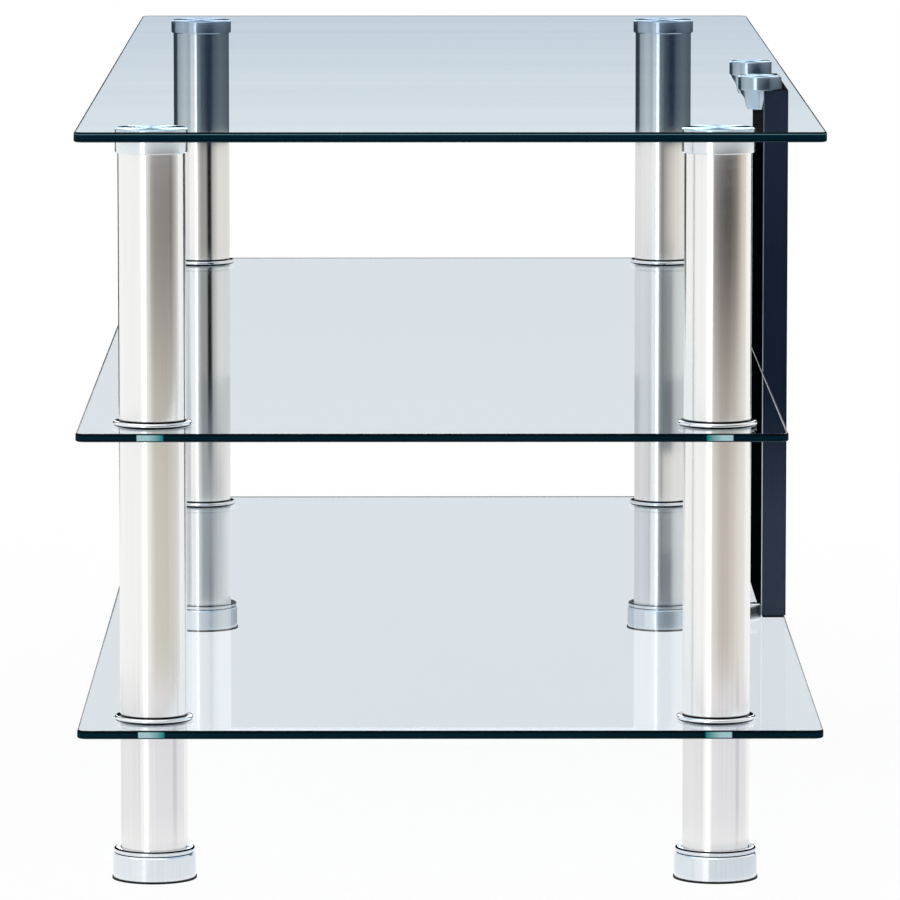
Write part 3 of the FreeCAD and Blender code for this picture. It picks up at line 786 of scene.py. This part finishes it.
def card_paint(name, centre, reach, upper, lower, heights, in_glass):
    """Paint that glows on a card's inner side as a painted reflection, in tones by turn about the centre,
    with faint streaks.

    Turns are in degrees from +X to +Y. From the first to the second of the heights, the tones in upper pass
    into those in lower. It glows for what lies within half as far again as its reach; the clean mirror of
    a glass plate shows it only if it is in_glass.
    """
    streak_turn = 3.0
    streak_depth = 0.18
    glow_share = 1.5
    material, tree, place = start_material(name)
    off = add_node(tree, "VectorMath", {"operation": "SUBTRACT", 1: (*centre, 0)}, {0: place})
    axes = add_node(tree, "SeparateXYZ", {}, {0: off}).outputs
    radians = add_node(tree, "Math", {"operation": "ARCTAN2"}, {0: axes["Y"], 1: axes["X"]})
    turn = add_node(tree, "Math", {"operation": "DEGREES"}, {0: radians})
    tones = []
    for stops in (upper, lower):
        first, last = stops[0][0], stops[-1][0]
        along = add_node(tree, "MapRange", {"From Min": first, "From Max": last}, {"Value": turn})
        tones.append(add_node(tree, "ValToRGB",
                              {"stops": [((at - first) / (last - first), tone) for at, tone in stops]},
                              {0: along}))
    fall = add_node(tree, "MapRange",
                    {"interpolation_type": "SMOOTHSTEP", "From Min": heights[0], "From Max": heights[1]},
                    {"Value": axes["Z"]})
    tone = add_node(tree, "Mix", {"data_type": "RGBA"}, {0: fall, 6: tones[0], 7: tones[1]})
    step = add_node(tree, "Math", {"operation": "DIVIDE", 1: streak_turn}, {0: turn})
    streak = add_node(tree, "TexNoise", {"noise_dimensions": "1D", "Scale": 1.0, "Detail": 2.0},
                      {"W": step})
    level = add_node(tree, "MapRange", {"To Min": 1 - streak_depth, "To Max": 1 + streak_depth},
                     {"Value": streak})
    glow = add_node(tree, "Emission", {}, {"Color": tone.outputs[2], "Strength": level})
    ray = add_node(tree, "LightPath").outputs
    close = add_node(tree, "Math", {"operation": "LESS_THAN", 1: glow_share * reach},
                     {0: ray["Ray Length"]})
    seen = add_node(tree, "MapRange", {"To Min": 1.0, "To Max": float(in_glass)},
                    {"Value": ray["Is Singular Ray"]})
    inner = add_node(tree, "Math", {"operation": "MULTIPLY"},
                     {0: close, 1: add_node(tree, "NewGeometry").outputs["Backfacing"]})
    shown = add_node(tree, "Math", {"operation": "MULTIPLY"}, {0: seen, 1: inner})
    clear = add_node(tree, "BsdfTransparent")
    skin = add_node(tree, "MixShader", {}, {0: shown, 1: clear, 2: glow})
    add_node(tree, "OutputMaterial", {}, {"Surface": skin})
    return material


def card(name, centre, reach, rise, upper, lower=None, heights=(1.0, 0.0), turns=None, in_glass=False):
    """A card of painted reflection that shows in polished metal, or in mirroring glass too, and nowhere
    else.

    It is an arc of radius reach about the upright line through centre, drawn up from the first to the
    second height in rise. It runs from the first to the last turn of its upper tones, or between turns.
    """
    face_turn = 6.0
    first, last = turns or (upper[0][0], upper[-1][0])
    angles = np.radians(np.linspace(first, last, 1 + math.ceil((last - first) / face_turn)))
    across = np.array(centre) + reach * np.column_stack([np.cos(angles), np.sin(angles)])
    corners = np.concatenate([np.column_stack([across, np.full(len(angles), level)]) for level in rise])
    start = np.arange(len(angles) - 1)
    faces = np.column_stack([start, start + 1, start + 1 + len(angles), start + len(angles)])
    made = sheet(name, corners.tolist(), faces.tolist())
    made.data.materials.append(card_paint(name, centre, reach, upper, lower or upper, heights, in_glass))
    for ray in ("camera", "diffuse", "transmission", "shadow", "volume_scatter"):
        setattr(made, "visible_" + ray, False)


# Dark cards far round the stand, painted reflections for the dark lines at the sides of the metal.
DARK_CARD_REACH = 1.7
DARK_CARD_RISE = (0.0, 1.6)
LOW_DARK_CARD_RISE = (0.0, 0.62)
DARK_REFLECTION = [(-180, "#0c0e12"), (180, "#0a0b0e")]
card("left_dark_reflection_card", (0, 0), DARK_CARD_REACH, DARK_CARD_RISE, DARK_REFLECTION, turns=(-160, -134))
card("right_dark_reflection_card", (0, 0), DARK_CARD_REACH, DARK_CARD_RISE, DARK_REFLECTION, turns=(136, 160))
card("rear_dark_reflection_card", (0, 0), DARK_CARD_REACH, LOW_DARK_CARD_RISE, DARK_REFLECTION, turns=(165, 195), in_glass=True)

# Taupe cards beside the upper tubes of the right end, paler downwards, and pale ones lower down, all
# painted reflections.
RIGHT_END = ("front_right", "rear_right")
TAUPE_REACH = 0.16
TAUPE_RISE = (0.1, 0.44)
TAUPE_FALL = (0.4, 0.2)
TAUPE = {
    "front_right": [(-18, "#efeeec"), (0, "#a49e99"), (14, "#8a8482"), (60, "#86817f"), (67, "#766f6a"),
                    (98, "#dedbd8")],
    "rear_right": [(-18, "#a8a5a6"), (-6, "#747271"), (22, "#4a4746"), (38, "#474444"), (60, "#7c746e"),
                   (84, "#d2c8bc"), (106, "#efebe8")]}
TAUPE_LOW = {
    "front_right": [(-18, "#f7f6f5"), (14, "#d2cec3"), (50, "#d1cdc2"), (98, "#e4e3e1")],
    "rear_right": [(-18, "#e6e1dc"), (15, "#c8beb5"), (30, "#c8beb5"), (70, "#e4dfd8"), (106, "#f2f1ee")]}
LOW_PALE_REFLECTION_RISE = (0.0, 0.1)
LOW_PALE_REFLECTION = [(-16, "#edecf0"), (20, "#e8e7ec"), (62, "#e8e7ec"), (73, "#cccbd0"), (84, "#e9e8ed"),
             (120, "#eeeef2")]
LOW_PALE_REFLECTION_LEFT = [(-150, "#e8e8eb"), (-100, "#f2f2f4"), (-44, "#ebebee")]
for side, leg in zip(SIDES, RIGHT_END):
    card(side + "_taupe_reflection_card", LEG_PLACES[leg], TAUPE_REACH, TAUPE_RISE, TAUPE[leg], TAUPE_LOW[leg],
         TAUPE_FALL)
    card(leg + "_low_pale_reflection", LEG_PLACES[leg], TAUPE_REACH, LOW_PALE_REFLECTION_RISE, LOW_PALE_REFLECTION)
    card(leg + "_low_paper_left", LEG_PLACES[leg], TAUPE_REACH, LOW_PALE_REFLECTION_RISE, LOW_PALE_REFLECTION_LEFT)

# White cards round the caps of the right end, painted reflections.
LEG_REACH = 0.05
CAP_LOW = 0.4328
UNDER_TOP = 0.4415
WHITE_REFLECTION = [(-16, "#f6f7f7"), (40, "#dfe2e4"), (120, "#f2f3f4")]
for leg in RIGHT_END:
    card(leg + "_white_reflection_card", LEG_PLACES[leg], LEG_REACH, (CAP_LOW, UNDER_TOP), WHITE_REFLECTION)

# Slate cards round the left end's upper tubes, where they are seen through the top glass, and round
# the board's brackets, painted reflections.
LEFT_END = ("front_left", "rear_left")
SLATE_LOW = 0.357
BRACKET_REACH = 0.03
BRACKET_LOW = 0.418
SLATE_LEFT = [(-150, "#2a333d"), (-100, "#3b464f"), (-94, "#b4babe"), (-60, "#dfe2e5"), (-36, "#c8cdd1")]
SLATE_RIGHT = [(-14, "#87929a"), (6, "#515d67"), (24, "#1f2d42"), (34, "#26354a"), (46, "#5d6973"),
               (70, "#737c84"), (150, "#525b63")]
slate_places = [(leg, LEG_PLACES[leg], LEG_REACH, SLATE_LOW) for leg in LEFT_END]
slate_places += [(side + "_bracket", middle_of(side + "_panel_bracket").xy, BRACKET_REACH, BRACKET_LOW)
                 for side in SIDES]
for name, place, reach, low_end in slate_places:
    card(name + "_slate_left", place, reach, (low_end, UNDER_TOP), SLATE_LEFT)
    card(name + "_slate_right", place, reach, (low_end, UNDER_TOP), SLATE_RIGHT)

# Dark cards round the board's stops with two painted glints, and pale ones just above them, all painted
# reflections.
STOP_REACH = 0.022
STOP_PALE_REFLECTION_HEIGHT = 0.01
STOP_PALE_REFLECTION = [(-180, "#f4f5f6"), (180, "#eff1f2")]
SPARKLE = [(-150, "#050607"), (-78, "#050607"), (-70, "#ffffff"), (-60, "#0a0c0e"), (-14, "#050607"),
           (-6, "#e8eaec"), (0, "#0a0c0e"), (150, "#050607")]
for side in SIDES:
    low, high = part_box(side + "_panel_stop")
    place = middle_of(side + "_panel_stop").xy
    card(side + "_stop_dark_reflection", place, STOP_REACH, (low.z, high.z), SPARKLE)
    card(side + "_stop_pale_reflection", place, STOP_REACH, (high.z, high.z + STOP_PALE_REFLECTION_HEIGHT), STOP_PALE_REFLECTION,
         turns=(110, 250))

# Pale cards round the foot cups, painted reflections.
CUP_REACH = 0.035
CUP_RISE = (0.0, 0.0195)
CUP_LEFT = {
    "front_right": [(-150, "#f2f5f6"), (-40, "#f6f8f8")],
    "rear_right": [(-150, "#eef1f3"), (-40, "#f1f4f5")],
    "front_left": [(-150, "#dfe4e7"), (-40, "#e4e8ea")],
    "rear_left": [(-150, "#c3cbd1"), (-110, "#dbe0e4"), (-40, "#e2e6e9")]}
CUP_RIGHT = {
    "front_right": [(-14, "#eff1f3"), (60, "#edf0f2"), (150, "#f2f4f6")],
    "rear_right": [(-14, "#e2e6e9"), (60, "#e0e4e8"), (150, "#eaedf0")],
    "front_left": [(-14, "#e9ebed"), (25, "#cdd2d6"), (55, "#e2e5e7"), (105, "#b4bcc4"), (150, "#ced5da")],
    "rear_left": [(-14, "#b6bec6"), (5, "#95a0aa"), (25, "#939ea8"), (42, "#cfd5da"), (150, "#dfe4e8")]}
for leg in LEGS:
    card(leg + "_cup_left", LEG_PLACES[leg], CUP_REACH, CUP_RISE, CUP_LEFT[leg])
    card(leg + "_cup_right", LEG_PLACES[leg], CUP_REACH, CUP_RISE, CUP_RIGHT[leg])

# Pale cards round the rest of the left end's tubes, greyer downwards, and a band at one lower ring, all
# painted reflections.
RIGHT_TURNS = (-14, 150)
PALE_RISE = (0.016, SLATE_LOW)
PALE_LEFT = [(-150, "#e0e0e3"), (-40, "#f0f1f1")]
PALE_LEFT_LOW = [(-150, "#d6d6da"), (-70, "#dfe0e3"), (-40, "#cdd1d4")]
PALE_LEFT_FALL = (0.33, 0.2)
PALE_RIGHT = {
    "front_left": [(-14, "#ecebe8"), (-5, "#a3a19f"), (17, "#a09d9a"), (22, "#17181a"), (32, "#17181a"),
                   (38, "#b5b3b0"), (60, "#e6e4e0")],
    "rear_left": [(-14, "#c9c8c6"), (-6, "#8d8c8a"), (2, "#8d8c8a"), (10, "#b4b3af"), (38, "#dedad3"),
                  (70, "#eeece8")]}
PALE_RIGHT_LOW = {
    "front_left": [(-14, "#e2e4e5"), (0, "#a9adb0"), (28, "#9ba0a4"), (45, "#bcbfc1"), (105, "#ebeced")],
    "rear_left": [(-14, "#b9bcc0"), (-4, "#808387"), (28, "#8e9093"), (38, "#c4c5c6"), (55, "#dcdddd"),
                  (150, "#eeeeee")]}
PALE_RIGHT_FALL = {"front_left": (0.19, 0.1), "rear_left": (0.3, 0.24)}
for leg in LEFT_END:
    card(leg + "_pale_left", LEG_PLACES[leg], LEG_REACH, PALE_RISE, PALE_LEFT, PALE_LEFT_LOW, PALE_LEFT_FALL)
    card(leg + "_pale_right", LEG_PLACES[leg], LEG_REACH, PALE_RISE, PALE_RIGHT[leg], PALE_RIGHT_LOW[leg],
         PALE_RIGHT_FALL[leg], turns=RIGHT_TURNS)

BAND_REACH = 0.048
BAND_RISE = (0.096, 0.132)
PALE_BAND = [(-14, "#cfcfce"), (-4, "#a5a6a6"), (8, "#d2d2d1"), (38, "#e6e6e5"), (150, "#eeeeee")]
card("rear_left_pale_band", LEG_PLACES["rear_left"], BAND_REACH, BAND_RISE, PALE_BAND)

# Camera. It looks along the stand from its right end, from a little above, through a long lens.
# Its place, dip below level and turn off the stand's length are in metres and degrees.
CAMERA_PLACE = (4.9143, -0.0170, 0.7864)
CAMERA_DIP = 6.858
CAMERA_TURN = 0.2202
lens = bpy.data.cameras.new("camera")
lens.sensor_width = 36.0
lens.lens = 300.1
camera = bpy.data.objects.new("camera", lens)
camera.location = CAMERA_PLACE
camera.rotation_euler = (math.radians(90 - CAMERA_DIP), 0, math.radians(90 - CAMERA_TURN))
scene.collection.objects.link(camera)
scene.camera = camera
scene.view_settings.view_transform = "Standard"
